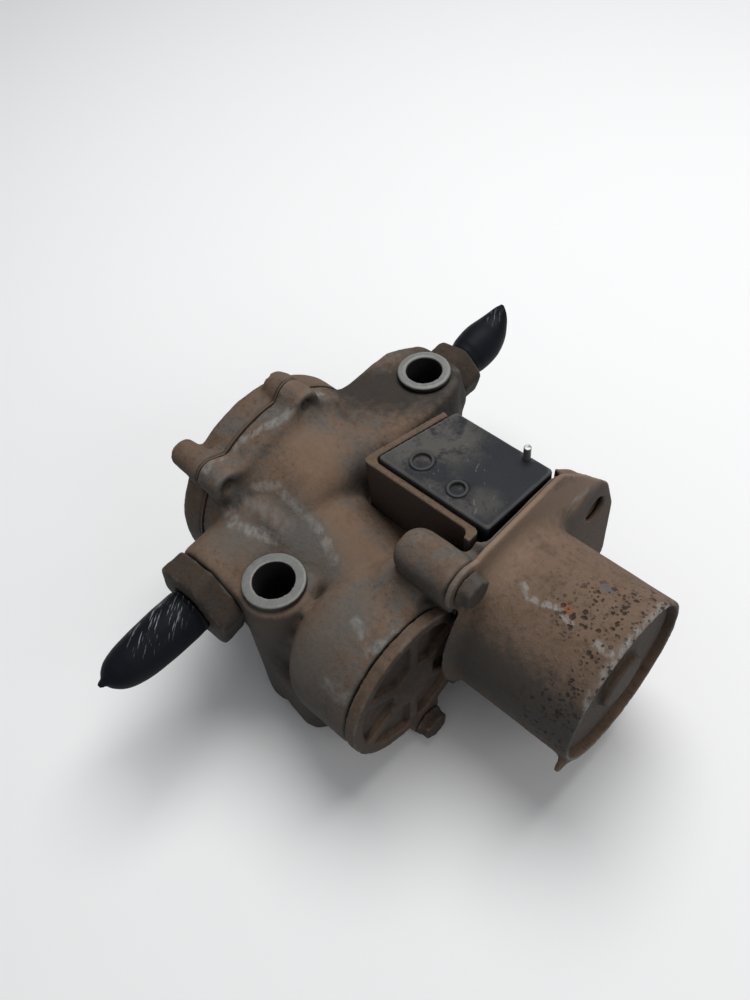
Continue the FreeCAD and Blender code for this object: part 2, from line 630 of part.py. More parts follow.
# pointed lug of the can's rim
lug_angle = 203.0
lug = prism("x", [(can_r - 1.5, -5.5), (can_r - 1.5, 5.5), (can_r + 6.5, 1.0), (can_r + 6.5, -1.0)],
            can_end - 4.0, can_end - 1.0)
lug.rotate(V(0, 0, 0), V(1, 0, 0), lug_angle)
drawn = join(drawn, lug)
motor_x0 = shell_x + 2.0
bore = rod("x", can_r - can_wall, motor_x0, can_end + 1, 0, 0)
front_seat = rod("x", 11.0, flange_x - 1, motor_x0 + 1, 0, 0)
cuts = [bore, front_seat, rod("x", ear_hole_r, 20, 45, *flange_ear)]
cuts.extend([rod("x", 4.2, 30, 40, y, z) for y, z in motor_bolts])
cuts.extend([rod("x", 9.2, shell_x, shell_x + 12, y, z) for y, z in motor_bolts])
nodes["motor_can"] = drawn.cut(cuts)
nodes["motor_bolts"] = pick([flange_bolt("x", 8.0, shell_x, 14.0, y, z) for y, z in motor_bolts])

nodes["front_bearing"] = tube("x", 11.0, 4.0 + run_fit, flange_x, motor_x0, 0, 0)
end_in = 93.5
end_plate = join(rod("x", can_r - can_wall, end_in, end_in + 2.0, 0, 0),
                 soften(rod("x", 13.0, end_in + 2.0, end_in + 6.0, 0, 0), 2.0, rim("x", end_in + 6.0)))
nodes["motor_end_plate"] = end_plate.cut(rod("x", 9.0, end_in - 1, end_in + 4.0, 0, 0))
nodes["rear_bearing"] = tube("x", 9.0, 4.0 + run_fit, end_in, end_in + 4.0, 0, 0)

nodes["armature_shaft"] = rod("x", shaft_r, 13.5, end_in + 3.6, 0, 0)
nodes["motor_pinion"] = spur(motor_teeth, wheel_x0 - 1, wheel_x1 + 3, motor_axis,
                             motor_phase).cut(rod("x", shaft_r, 0, 40, 0, 0))
core_x0 = 58.0
core_x1 = 84.0
core_r = 26.0
slots = 12
core = rod("x", core_r, core_x0, core_x1, 0, 0)
slot_cuts = []
for y, z in ring_points(slots, 19.5, 0, 0):
    slot_cuts.append(rod("x", 3.2, core_x0 - 1, core_x1 + 1, y, z))
for y, z in ring_points(slots, 23.0, 0, 0):
    mouth = block(core_x0 - 1, core_x1 + 1, 20, 30, -0.9, 0.9)
    mouth.rotate(V(0, 0, 0), V(1, 0, 0), degrees(atan2(z, y)))
    slot_cuts.append(mouth)
core = core.cut(slot_cuts).cut(rod("x", 4.0, core_x0 - 1, core_x1 + 1, 0, 0))
nodes["armature_core"] = core
coils = [rod("x", 3.0, core_x0 - 0.2, core_x1 + 0.2, y, z) for y, z in ring_points(slots, 19.5, 0, 0)]
end_turns = [tube("x", 23.6, 10.0, core_x0 - 5.2, core_x0 - 0.2, 0, 0),
             tube("x", 23.6, 10.0, core_x1 + 0.2, core_x1 + 5.2, 0, 0)]
nodes["armature_windings"] = join(*end_turns, *coils)
nodes["commutator"] = tube("x", 10.0, 4.0, 43.0, 52.0, 0, 0)

magnets = []
magnet_ring = tube("x", can_r - can_wall, core_r + 1.5, core_x0 - 4, core_x1 + 4, 0, 0)
for side in (1, -1):
    wedge = prism("x", [(0, 0), (side * 60, -34), (side * 60, 34)], core_x0 - 5, core_x1 + 5)
    magnets.append(magnet_ring.common(wedge))
nodes["field_magnets"] = pick(magnets)

card = tube("x", can_r - can_wall, 13.0, 41.0, 43.5, 0, 0)
nodes["brush_card"] = card
brushes = []
springs = []
for side in (1, -1):
    inner = sorted((side * (10.0 + face_gap), side * 21.0))
    outer = sorted((side * 21.0, side * 31.0))
    brushes.append(block(43.5, 50.5, -3.5, 3.5, inner[0], inner[1]))
    springs.append(block(44.0, 48.0, -2.0, 2.0, outer[0], outer[1]))
nodes["carbon_brushes"] = pick(brushes)
nodes["brush_springs"] = pick(springs)

# ---- relay and its strap ----
coil_x = -13.0
coil_y = 17.0
relay_plan = [(-32, -4), (29.5, -4), (31.5, 38), (-22.5, 38)]
housing = rounded_prism("z", relay_plan, 1.5, shelf_z, relay_top)
well = rod("z", 12.5, shelf_z + 2, relay_top - 5, coil_x, coil_y)
board_slot = block(4, 26, 4, 32, shelf_z + 2, relay_top - 5)
plug_seats = ((-15.4, 6.7, 5.6), (6.3, 4.6, 4.8))
housing = housing.cut([well, board_slot, rod("z", 1.7, 24, relay_top + 1, 18.5, 36.2)])
housing = housing.cut([rod("z", r, relay_top - 1.5, relay_top + 1, x, y) for x, y, r in plug_seats])
nodes["relay_housing"] = housing
nodes["relay_plugs"] = pick([tube("z", r, r - 1.4, relay_top - 1.5, relay_top + 0.3, x, y)
                             for x, y, r in plug_seats])
nodes["terminal_pin"] = rod("z", 1.7, 24, relay_top + 7, 18.5, 36.2)
nodes["relay_board"] = block(5, 25, 12, 13.6, shelf_z + 2, relay_top - 7)
nodes["relay_coil"] = tube("z", 12.0, 5.0, shelf_z + 3, shelf_z + 20, coil_x, coil_y)
nodes["relay_core"] = rod("z", 5.0, shelf_z + 2, shelf_z + 21, coil_x, coil_y)
plunger_z = shelf_z + 25.5
nodes["contact_plunger"] = join(rod("z", 9.0, plunger_z, plunger_z + 1.6, coil_x, coil_y),
                                rod("z", 2.0, plunger_z + 1.6, plunger_z + 3.2, coil_x, coil_y))
nodes["contact_spring"] = tube("z", 7.5, 6.5, shelf_z + 20, plunger_z, coil_x, coil_y)


def strip(points, thickness, z0, z1):
    """Flat strip bent along a path in plan; thickness is laid off to the right of the path."""
    outer = []
    for index, point in enumerate(points):
        before = points[max(index - 1, 0)]
        after = points[min(index + 1, len(points) - 1)]
        sides = []
        for a, b in ((before, point), (point, after)):
            length = hypot(b[0] - a[0], b[1] - a[1])
            if length > 0:
                sides.append(((b[1] - a[1]) / length, -(b[0] - a[0]) / length))
        nx = sum(side[0] for side in sides)
        ny = sum(side[1] for side in sides)
        grow = thickness * 2.0 / (nx ** 2 + ny ** 2) if len(sides) == 2 else thickness
        outer.append((point[0] + nx * grow, point[1] + ny * grow))
    return prism("z", list(points) + outer[::-1], z0, z1)


strap_path = [(-25.5, 36), (-34.5, -4.3), (26, -4.3), (26, -11.5)]
strap = strip(strap_path, strap_t, shelf_z + 0.4, relay_top - 3)


def bend_edge(edge):
    """Edge test: an upright edge at one of the strap's bends."""
    box = edge.BoundBox
    upright = box.XMax - box.XMin < 1e-4 and box.YMax - box.YMin < 1e-4
    inner = min(hypot(box.XMin - x, box.YMin - y) for x, y in strap_path[1:3])
    return upright and inner < 7.0


nodes["relay_strap"] = soften(strap, 3.0, bend_edge)

# ---- export in the part frame ----
origin = V(front_bore_x, front_bore_y, base_z)
os.makedirs("parts", exist_ok=True)
for name, shape in nodes.items():
    placed = shape.copy()
    placed.translate(origin * -1)
    placed.exportStep("parts/" + name + ".step")
    print(name, len(placed.Solids), round(placed.Volume), placed.isValid())
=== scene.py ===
import json
import math

import bmesh
import bpy
import numpy as np
from mathutils import Matrix, Vector


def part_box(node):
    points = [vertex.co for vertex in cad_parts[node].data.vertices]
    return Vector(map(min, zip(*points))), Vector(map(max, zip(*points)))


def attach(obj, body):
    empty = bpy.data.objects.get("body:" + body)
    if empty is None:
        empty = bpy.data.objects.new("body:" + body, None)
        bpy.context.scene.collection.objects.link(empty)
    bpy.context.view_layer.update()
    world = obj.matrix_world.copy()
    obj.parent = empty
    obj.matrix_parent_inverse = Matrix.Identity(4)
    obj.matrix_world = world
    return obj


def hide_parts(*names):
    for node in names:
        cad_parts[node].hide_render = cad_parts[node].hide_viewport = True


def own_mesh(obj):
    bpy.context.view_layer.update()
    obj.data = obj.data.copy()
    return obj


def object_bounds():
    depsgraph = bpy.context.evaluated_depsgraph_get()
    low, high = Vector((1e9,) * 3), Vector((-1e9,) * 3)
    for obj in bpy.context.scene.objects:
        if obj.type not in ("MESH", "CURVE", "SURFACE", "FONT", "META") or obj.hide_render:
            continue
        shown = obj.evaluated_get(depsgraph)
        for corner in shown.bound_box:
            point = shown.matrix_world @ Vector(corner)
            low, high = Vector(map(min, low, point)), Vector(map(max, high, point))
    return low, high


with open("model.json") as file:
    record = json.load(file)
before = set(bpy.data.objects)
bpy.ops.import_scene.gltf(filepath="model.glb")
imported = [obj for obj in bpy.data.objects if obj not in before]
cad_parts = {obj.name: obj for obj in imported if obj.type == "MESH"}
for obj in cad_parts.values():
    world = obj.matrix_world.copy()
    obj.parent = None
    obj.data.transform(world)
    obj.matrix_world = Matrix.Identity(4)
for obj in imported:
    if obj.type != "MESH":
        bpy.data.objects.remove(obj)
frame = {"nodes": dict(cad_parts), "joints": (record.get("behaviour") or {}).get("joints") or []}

bl_info = {
    "name": "Motor-driven rotary valve",
    "version": (1, 0, 0),
    "blender": (4, 5, 0),
    "location": "View3D > Sidebar > Valve",
    "description": "Finishes a cast rotary valve with a flanged motor, hose boots and a strapped relay",
    "category": "Object",
}

MM = 0.001
HOUSING = "housing"
CAD_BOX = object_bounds()
CAN_END = 100.0           # mm along the shaft to the can's open end
RUB = -0.99               # direction of the rub marks about Z, radians
WEAR_LIMIT = 97           # percentile of the relief that counts as a sharp edge
BOOT_ROWS = 120
BOOT_TURNS = 72
COIL_POINTS = 160
COIL_TURNS = 4.5
COIL_WIRE = 0.45          # mm, radius of the contact spring's wire
WIRE_SIDES = 10
FLOOR_HALF = 1.6
CAMERA_PLACE = (164.581, -176.921, 356.981)
CAMERA_YAW, CAMERA_PITCH, CAMERA_ROLL = 0.862841, 0.909321, 0.137693
CAMERA_FOCAL = 0.921777   # focal length as a share of the sensor's long side


def motor_origin():
    """The point on the motor shaft that positions below are counted from."""
    pivot = next(j for j in frame["joints"] if j["name"] == "armature_spin")["pos_m"]
    return Vector((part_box("motor_can")[1].x - CAN_END * MM, pivot[1], pivot[2]))


MOTOR = motor_origin()


def at(x, y, z):
    """A point given in millimetres from the motor shaft, in the frame."""
    return MOTOR + Vector((x, y, z)) * MM


# ---- settings a user would change ----
def colour(name, description, rgb):
    return bpy.props.FloatVectorProperty(name=name, description=description, subtype="COLOR", size=3,
                                         min=0.0, max=1.0, default=rgb)


def length(name, description, metres):
    return bpy.props.FloatProperty(name=name, description=description, subtype="DISTANCE",
                                   unit="LENGTH", precision=5, default=metres)


class ValveFinishSettings(bpy.types.PropertyGroup):
    """Colours of the weathered surfaces, linear."""
    mud: colour("Dried mud", "Brown film over the casting and the motor", (0.150, 0.098, 0.066))
    # painted shade: colour that sides, undersides and painted shadows are darkened to
    mud_in_shade: colour("Damp mud", "Greyer mud on the sides", (0.046, 0.039, 0.033))
    # soil and painted shade: colour that corners, hollows and cover pockets are darkened to
    soil_and_shade: colour("Soil", "Dark soil packed in the corners", (0.016, 0.012, 0.009))
    casting: colour("Bare casting", "Dull grey of the cast metal under the mud", (0.104, 0.092, 0.081))
    scuff: colour("Scuffed metal", "Pale grey where edges have rubbed", (0.27, 0.265, 0.25))
    rust: colour("Rust", "Orange rust spots", (0.170, 0.070, 0.030))
    can_paint: colour("Motor steel", "Brown steel of the motor can and flange", (0.160, 0.105, 0.073))
    sleeve: colour("Sleeve face", "Worn steel ring of the bolt sleeves", (0.185, 0.190, 0.182))
    relay: colour("Relay block", "Charcoal of the moulded relay block", (0.011, 0.0125, 0.016))
    relay_dust: colour("Relay dust", "Dust lying on the relay block", (0.105, 0.098, 0.088))
    rubber: colour("Boot rubber", "Blue-black of the hose boots", (0.0042, 0.0048, 0.0072))


class ValveSurfaceSettings(bpy.types.PropertyGroup):
    """Sizes of the surface work."""
    body_cell: length("Casting cell", "Grid cell used to rebuild the body casting", 0.00165)
    cover_cell: length("Cover cell", "Grid cell used to rebuild the end cover", 0.0013)
    can_cell: length("Can cell", "Grid cell used to rebuild the motor can", 0.0010)
    fine_cell: length("Fine cell", "Grid cell used for nuts, screws, sleeves and the strap", 0.00065)
    cast_grain: length("Cast grain", "Height of the casting's uneven skin", 0.00022)
    boot_wrinkle: length("Boot wrinkle", "Depth of the wrinkles in the hose boots", 0.00035)


# ---- shader maths ----
class Flow:
    """A shader socket that takes part in Python arithmetic."""

    def __init__(self, paint, socket):
        self.paint = paint
        self.socket = socket

    def _math(self, operation, first, second):
        return self.paint.node("Math", {"operation": operation}, {0: first, 1: second})

    def __add__(self, other):
        return self._math("ADD", self, other)

    __radd__ = __add__

    def __sub__(self, other):
        return self._math("SUBTRACT", self, other)

    def __rsub__(self, other):
        return self._math("SUBTRACT", other, self)

    def __mul__(self, other):
        return self._math("MULTIPLY", self, other)

    __rmul__ = __mul__

    def __truediv__(self, other):
        return self._math("DIVIDE", self, other)

    def __rtruediv__(self, other):
        return self._math("DIVIDE", other, self)


class Paint:
    """One procedural material and the few moves used to make it."""

    def __init__(self, name, metallic=0.0, specular=0.5):
        self.material = bpy.data.materials.new(name)
        self.material.use_nodes = True
        self.tree = self.material.node_tree
        self.tree.nodes.clear()
        self.shader = self.tree.nodes.new("ShaderNodeBsdfPrincipled")
        output = self.tree.nodes.new("ShaderNodeOutputMaterial")
        self.tree.links.new(self.shader.outputs[0], output.inputs[0])
        self.shader.inputs["Metallic"].default_value = metallic
        self.shader.inputs["Specular IOR Level"].default_value = specular
        self.place = self.node("TexCoord", output="Object")

    def node(self, kind, settings=None, sockets=None, output=0):
        """Adds a node: settings first, then the values or links of its sockets."""
        made = self.tree.nodes.new("ShaderNode" + kind)
        for key, value in (settings or {}).items():
            setattr(made, key, value)
        for key, value in (sockets or {}).items():
            if isinstance(value, Flow):
                self.tree.links.new(value.socket, made.inputs[key])
            else:
                made.inputs[key].default_value = value
        return Flow(self, made.outputs[output])

    def noise(self, size, detail=4.0, rough=0.55, twist=0.0, grow=None, seed=0.0, turn=0.0):
        """Noise whose features are about size metres; grow lengthens them along axes turned by turn
        about Z."""
        where = self.place
        if grow or seed:
            where = self.node("Mapping", {"vector_type": "TEXTURE"},
                              {"Vector": self.place, "Scale": grow or (1, 1, 1),
                               "Rotation": (0.0, 0.0, turn), "Location": (seed, 0.7 * seed, -seed)})
        return self.node("TexNoise", {"noise_dimensions": "3D"},
                         {"Vector": where, "Scale": 1.0 / size, "Detail": detail,
                          "Roughness": rough, "Distortion": twist}, "Fac")

    def cells(self, size, seed):
        """Distance to the nearest of scattered points that lie about size metres apart."""
        where = self.node("Mapping", {"vector_type": "POINT"},
                          {"Vector": self.place, "Location": (seed, seed, seed)})
        return self.node("TexVoronoi", {"feature": "F1"},
                         {"Vector": where, "Scale": 1.0 / size}, "Distance")

    def step(self, value, low, high):
        """Smooth rise from 0 at low to 1 at high; low may be the larger."""
        return self.node("MapRange", {"interpolation_type": "SMOOTHSTEP"},
                         {"Value": value, "From Min": low, "From Max": high})

    def mix(self, factor, first, second):
        """Colour going from first to second as factor goes from 0 to 1."""
        pair = {0: factor}
        for key, tint in ((6, first), (7, second)):
            pair[key] = tint if isinstance(tint, Flow) else tuple(tint[:3]) + (1.0,)
        return self.node("Mix", {"data_type": "RGBA", "blend_type": "MIX"}, pair, 2)

    def attribute(self, name):
        """A value stored on the mesh's points."""
        return self.node("Attribute", {"attribute_name": name}, output="Fac")

    def near(self, start, end, radius, waver=0.0):
        """1 close to the straight line from start to end, falling to 0 at radius."""
        start = Vector(start)
        along = Vector(end) - start
        offset = self.node("VectorMath", {"operation": "SUBTRACT"}, {0: self.place, 1: start})
        share = self.node("VectorMath", {"operation": "DOT_PRODUCT"},
                          {0: offset, 1: along / along.length_squared}, "Value")
        share = self.node("Clamp", sockets={"Value": share})
        foot = self.node("VectorMath", {"operation": "SCALE"}, {0: tuple(along), "Scale": share})
        gap = self.node("VectorMath", {"operation": "DISTANCE"}, {0: offset, 1: foot}, "Value")
        if waver:
            gap = gap + (self.noise(0.004, 3.0) - 0.5) * waver
        return self.step(gap, radius, radius * 0.25)

    def finish(self, base, rough, height=None, depth=0.0004):
        """Feeds what changes over the surface to the shader; depth is the bump height in metres."""
        feeds = [("Base Color", base), ("Roughness", rough)]
        if height is not None:
            bump = self.node("Bump", None, {"Height": height, "Distance": depth, "Strength": 1.0},
                             "Normal")
            feeds.append(("Normal", bump))
        for key, value in feeds:
            if isinstance(value, Flow):
                self.tree.links.new(value.socket, self.shader.inputs[key])
            else:
                self.shader.inputs[key].default_value = value
        return self.material


def darker(rgb, share):
    """A colour with every channel multiplied by share."""
    return tuple(channel * share for channel in rgb)


def trail(paint, points, radius, waver=0.0):
    """1 along a line through several points, given in millimetres from the motor shaft."""
    total = None
    for start, end in zip(points[:-1], points[1:]):
        part = paint.near(at(*start), at(*end), radius, waver)
        total = part if total is None else paint.node("Math", {"operation": "MAXIMUM"},
                                                      {0: total, 1: part})
    return total


def muddy_metal(name, under, mud, mud_share, settings, rust_share=0.25, worn=0.5, marks=(),
                pits=None, stains_and_painted_light=()):
    """Weathered metal: under shows through a mud film; edges rub pale; sides and undersides get painted
    shade, and corners get dark soil with painted shade.
    marks are scuffed trails, stains_and_painted_light are trails of one colour, among them painted
    shadows and painted light, and pits is where rust has eaten in."""
    paint = Paint(name, specular=0.35)
    relief = paint.attribute("relief")
    facing = paint.attribute("facing")
    broad = paint.noise(0.045, 5.0, 0.6, 0.3)
    blotch = paint.noise(0.012, 6.0, 0.62, 0.6, seed=3.0)
    speck = paint.noise(0.0022, 4.0, 0.7, seed=8.0)
    grit = paint.noise(0.0007, 3.0, 0.6)
    film = paint.step(broad + (blotch - 0.5) * 0.8, 0.60 - mud_share * 0.5, 0.86 - mud_share * 0.5)
    base = paint.mix(film, under, mud)
    base = paint.mix(paint.step(blotch, 0.48, 0.72) * 0.45, base, darker(mud, 0.5))
    base = paint.mix(paint.step(speck, 0.50, 0.70) * 0.6, base, darker(mud, 0.42))
    base = paint.mix(paint.step(speck, 0.46, 0.30) * 0.30, base, darker(mud, 1.55))
    # painted shade: sides and undersides, by how little their normal points up, darkened towards the
    # shaded mud colour
    side = paint.step(facing + (blotch - 0.5) * 0.5, 0.70, 0.05)
    base = paint.mix(side * 0.88, base, paint.mix(blotch, settings.mud_in_shade, darker(under, 0.45)))
    for points, radius, share, tint in stains_and_painted_light:
        base = paint.mix(trail(paint, points, radius, radius * 0.8) * share, base, tint)
    # soil and painted shade darkening the corners and hollows
    soil_and_shade = paint.step(relief + (speck - 0.5) * 0.3, -0.25, -1.0)
    base = paint.mix(soil_and_shade * 0.85, base, settings.soil_and_shade)
    rust = paint.step(blotch * 0.6 + speck * 0.4, 0.66 - 0.1 * rust_share, 0.70)
    rust = rust * paint.step(paint.noise(0.03, 2.0, seed=5.0), 0.45, 0.62)
    base = paint.mix(rust * (0.5 + 0.5 * rust_share), base, settings.rust)
    # rubbed edges
    edge = paint.step(relief + (speck - 0.5) * 0.9 + (blotch - 0.5) * 2.2, 0.75, 1.7)
    edge = edge * worn
    streak = paint.noise(0.0028, 5.0, 0.6, grow=(2.2, 1, 1), turn=RUB)
    ragged = paint.step(streak + (speck - 0.5) * 0.2, 0.34, 0.62)
    for points, radius, share in marks:
        edge = edge + trail(paint, points, radius, radius * 1.2) * ragged * share
    edge = paint.node("Clamp", sockets={"Value": edge})
    base = paint.mix(edge * 0.66, base, settings.scuff)
    height = blotch * 0.5 + speck * 0.35 + grit * 0.25
    rough = 0.86 - edge * 0.25 + (speck - 0.5) * 0.15
    if pits:
        where = trail(paint, *pits) * paint.step(paint.noise(0.012, 3.0, seed=11.0), 0.34, 0.50)
        pit = paint.step(paint.cells(0.0038, seed=2.0) + (speck - 0.5) * 0.9, 0.31, 0.12) * where
        small = paint.step(paint.cells(0.0022, seed=6.0) + (grit - 0.5) * 0.5, 0.30, 0.12) * where
        pit = paint.node("Clamp", sockets={"Value": pit + small * 0.8})
        base = paint.mix(pit * 0.85, base, (0.016, 0.012, 0.010))
        height = height - pit * 1.2
    return paint.finish(base, rough, height, 0.0008)


def turned_metal(name, tint, dirt=0.2, shine=0.35, ring=0.0006, oil=(0.03, 0.02, 0.012)):
    """Machined metal: fine tool rings, a little staining and oil."""
    paint = Paint(name, metallic=0.85)
    rings = paint.noise(ring, 2.0, 0.5, grow=(1.0, 8.0, 8.0))
    stain = paint.noise(0.006, 5.0, 0.6, 0.4)
    soil_and_shade = paint.step(stain, 0.62 - dirt * 0.5, 0.80 - dirt * 0.3)
    base = paint.mix((rings - 0.5) * 0.8 + 0.5, darker(tint, 0.75), tint)
    base = paint.mix(soil_and_shade * (0.3 + dirt), base, oil)
    return paint.finish(base, shine + soil_and_shade * 0.3 + (rings - 0.5) * 0.2, rings, 0.00006)


def moulded(name, tint, size=0.0016, rough=0.6, grease=0.2):
    """Moulded plastic: faint flow marks, fine grain and thin grease."""
    paint = Paint(name, specular=0.4)
    flow = paint.noise(0.014, 4.0, 0.5, 1.2)
    grain = paint.noise(size, 3.0, 0.6)
    base = paint.mix(flow, darker(tint, 0.82), tint)
    smear = paint.step(paint.noise(0.009, 5.0, 0.6, seed=4.0), 0.52, 0.72) * grease
    base = paint.mix(smear, base, (0.05, 0.035, 0.02))
    return paint.finish(base, rough - smear * 0.5 + (grain - 0.5) * 0.2, grain, 0.00012)


def layered(name, tint, dark, pitch, axis_letter="X"):
    """Stacked sheets or wound wire: bands of one pitch along an axis."""
    paint = Paint(name, metallic=0.6)
    turn = {"X": (1.0, 0.02, 0.02), "Y": (0.02, 1.0, 0.02), "Z": (0.02, 0.02, 1.0)}[axis_letter]
    where = paint.node("Mapping", {"vector_type": "POINT"}, {"Vector": paint.place, "Scale": turn})
    bands = paint.node("TexWave", {"wave_type": "BANDS", "bands_direction": axis_letter},
                       {"Vector": where, "Scale": 0.314 / pitch, "Distortion": 0.6,
                        "Detail": 2.0, "Detail Scale": 3.0}, "Fac")
    stain = paint.noise(0.005, 4.0, 0.6)
    base = paint.mix(bands * 0.8 + stain * 0.2, dark, tint)
    return paint.finish(base, 0.42 + stain * 0.25, bands, 0.00012)


def sleeve_steel(name, settings):
    """Worn sleeve: grey turned face, brown film, and painted shade that turns every part not facing up
    near black, the bore included.
    """
    paint = Paint(name, metallic=0.35, specular=0.4)
    relief = paint.attribute("relief")
    facing = paint.attribute("facing")
    stain = paint.noise(0.004, 5.0, 0.65, 0.6)
    scratch = paint.noise(0.0008, 3.0, 0.6)
    base = paint.mix(paint.step(stain, 0.35, 0.70), darker(settings.sleeve, 0.75), settings.sleeve)
    base = paint.mix(paint.step(stain, 0.56, 0.72) * 0.55, base, settings.mud)
    base = paint.mix(paint.step(relief, 0.4, 1.1) * 0.6, base, darker(settings.scuff, 1.1))
    # painted shade: parts facing sideways or down, the bore among them, darkened to near black
    base = paint.mix(paint.step(facing, 0.75, 0.25) * 0.93, base, (0.012, 0.012, 0.012))
    return paint.finish(base, 0.48 + stain * 0.25, scratch + stain, 0.00012)


def relay_block(name, settings):
    """Dusty charcoal moulding: brown dust drifts over one half, with pale scratches, and painted shade
    on its sides.
    """
    paint = Paint(name, specular=0.22)
    relief = paint.attribute("relief")
    facing = paint.attribute("facing")
    drift = paint.noise(0.020, 5.0, 0.6, 0.8)
    fine = paint.noise(0.0018, 4.0, 0.7)
    streak = paint.noise(0.0024, 4.0, 0.7, grow=(2.4, 1.0, 1.0), seed=2.0, turn=RUB)
    drifts = paint.node("Math", {"operation": "MAXIMUM"}, {
        0: trail(paint, ((-30, 34, 51), (-22, 10, 51), (-14, 24, 51)), 0.023, 0.006),
        1: trail(paint, ((-6, 4, 51), (16, -2, 51), (20, 6, 51)), 0.011, 0.008) * 0.7})
    dust = drifts * paint.step(drift + (fine - 0.5) * 0.5, 0.34, 0.58)
    base = paint.mix(drift, settings.relay, darker(settings.relay, 1.5))
    base = paint.mix(dust * 0.8, base, settings.relay_dust)
    scratched = paint.step(streak, 0.60, 0.70) * trail(paint, ((-6, 12, 51), (22, 2, 51)), 0.022)
    base = paint.mix(scratched * 0.35, base, (0.26, 0.26, 0.28))
    base = paint.mix(paint.step(relief, 0.3, 1.2) * 0.55, base, (0.13, 0.125, 0.12))
    # painted shade: sides and undersides darker than the top
    base = paint.mix(paint.step(facing, 0.6, 0.1) * 0.5, base, darker(settings.relay, 0.45))
    return paint.finish(base, 0.62 + dust * 0.25 + (fine - 0.5) * 0.1, fine + drift, 0.00020)


def boot_rubber(name, settings):
    """Smooth rubber with a dull shine, pale streaks painted as highlights on its upward faces, and
    specks of dried mud.
    """
    paint = Paint(name, specular=0.10)
    drift = paint.noise(0.012, 4.0, 0.6, 0.5)
    scratch = paint.noise(0.0009, 3.0, 0.6, 0.2, grow=(12.0, 1.0, 6.0), turn=RUB)
    batch = trail(paint, ((-64, -104, 17), (-64, -120, 17)), 0.015, 0.014) \
        + trail(paint, ((-64, 117, 33), (-64, 122, 38)), 0.009, 0.006) * 0.8
    top = paint.step(paint.attribute("facing"), 0.45, 0.95)
    fleck = paint.step(paint.noise(0.0012, 4.0, 0.7, seed=9.0), 0.66, 0.74)
    # painted highlight: pale streaks on the upward faces near the boot tips
    highlight_lines = paint.step(scratch, 0.57, 0.66) * batch * top
    base = paint.mix(drift, settings.rubber, darker(settings.rubber, 1.9))
    base = paint.mix(highlight_lines * 0.85, base, (0.28, 0.29, 0.31))
    base = paint.mix(fleck * 0.25, base, settings.mud)
    return paint.finish(base, 0.46 + drift * 0.16 + highlight_lines * 0.3, drift + scratch * 0.3, 0.00022)


# ---- meshes ----
def put_object(name, mesh):
    obj = bpy.data.objects.new(name, mesh)
    bpy.context.scene.collection.objects.link(obj)
    return obj


def shade(mesh):
    mesh.polygons.foreach_set("use_smooth", np.ones(len(mesh.polygons), bool))
    mesh.update()


def read_points(mesh):
    points = np.empty(len(mesh.vertices) * 3)
    mesh.vertices.foreach_get("co", points)
    return points.reshape(-1, 3)


def read_normals(mesh):
    normals = np.empty(len(mesh.vertices) * 3)
    mesh.vertex_normals.foreach_get("vector", normals)
    return normals.reshape(-1, 3)


def write_attribute(mesh, name, values):
    layer = mesh.attributes.new(name, "FLOAT", "POINT")
    layer.data.foreach_set("value", values.astype(np.float32))


def neighbour_mean(points, edges, rounds):
    """Averages each point with its neighbours: p becomes (p + mean of the points it shares an edge
    with) / 2, as often as rounds says."""
    count = len(points)
    first = np.concatenate([edges[:, 0], edges[:, 1]])
    second = np.concatenate([edges[:, 1], edges[:, 0]])
    share = np.maximum(np.bincount(first, minlength=count), 1)[:, None]
    for _ in range(rounds):
        total = np.stack([np.bincount(first, points[second, k], count) for k in range(3)], axis=1)
        points = 0.5 * points + 0.5 * total / share
    return points


def mark_surface(mesh, rounds):
    """Writes relief, how far a point stands out of the evened surface as a share of the sharpest
    edges, and facing, the upward part of its normal."""
    edges = np.empty(len(mesh.edges) * 2, int)
    mesh.edges.foreach_get("vertices", edges)
    points = read_points(mesh)
    normals = read_normals(mesh)
    even = neighbour_mean(points, edges.reshape(-1, 2), rounds)
    relief = np.einsum("ij,ij->i", points - even, normals)
    write_attribute(mesh, "relief", relief / np.percentile(np.abs(relief), WEAR_LIMIT))
    write_attribute(mesh, "facing", normals[:, 2])


def uneven(points, size, seed):
    """Gentle lumps: the mean of sines of k.p with seeded directions k of length 2 pi / size."""
    rng = np.random.default_rng(seed)
    total = np.zeros(len(points))
    for scale in (1.0, 0.55, 0.3):
        ways = rng.normal(size=(6, 3))
        ways /= np.linalg.norm(ways, axis=1)[:, None]
        phase = rng.uniform(0.0, 2.0 * math.pi, 6)
        total += scale * np.sin(points @ ways.T * (2.0 * math.pi / (size * scale)) + phase).mean(axis=1)
    return total


def merged_copy(node, name):
    """A joined-up copy of a CAD node's mesh."""
    shell = bmesh.new()
    shell.from_mesh(frame["nodes"][node].data)
    bmesh.ops.remove_doubles(shell, verts=shell.verts, dist=1e-6)
    mesh = bpy.data.meshes.new(name)
    shell.to_mesh(mesh)
    shell.free()
    return put_object(name, mesh)


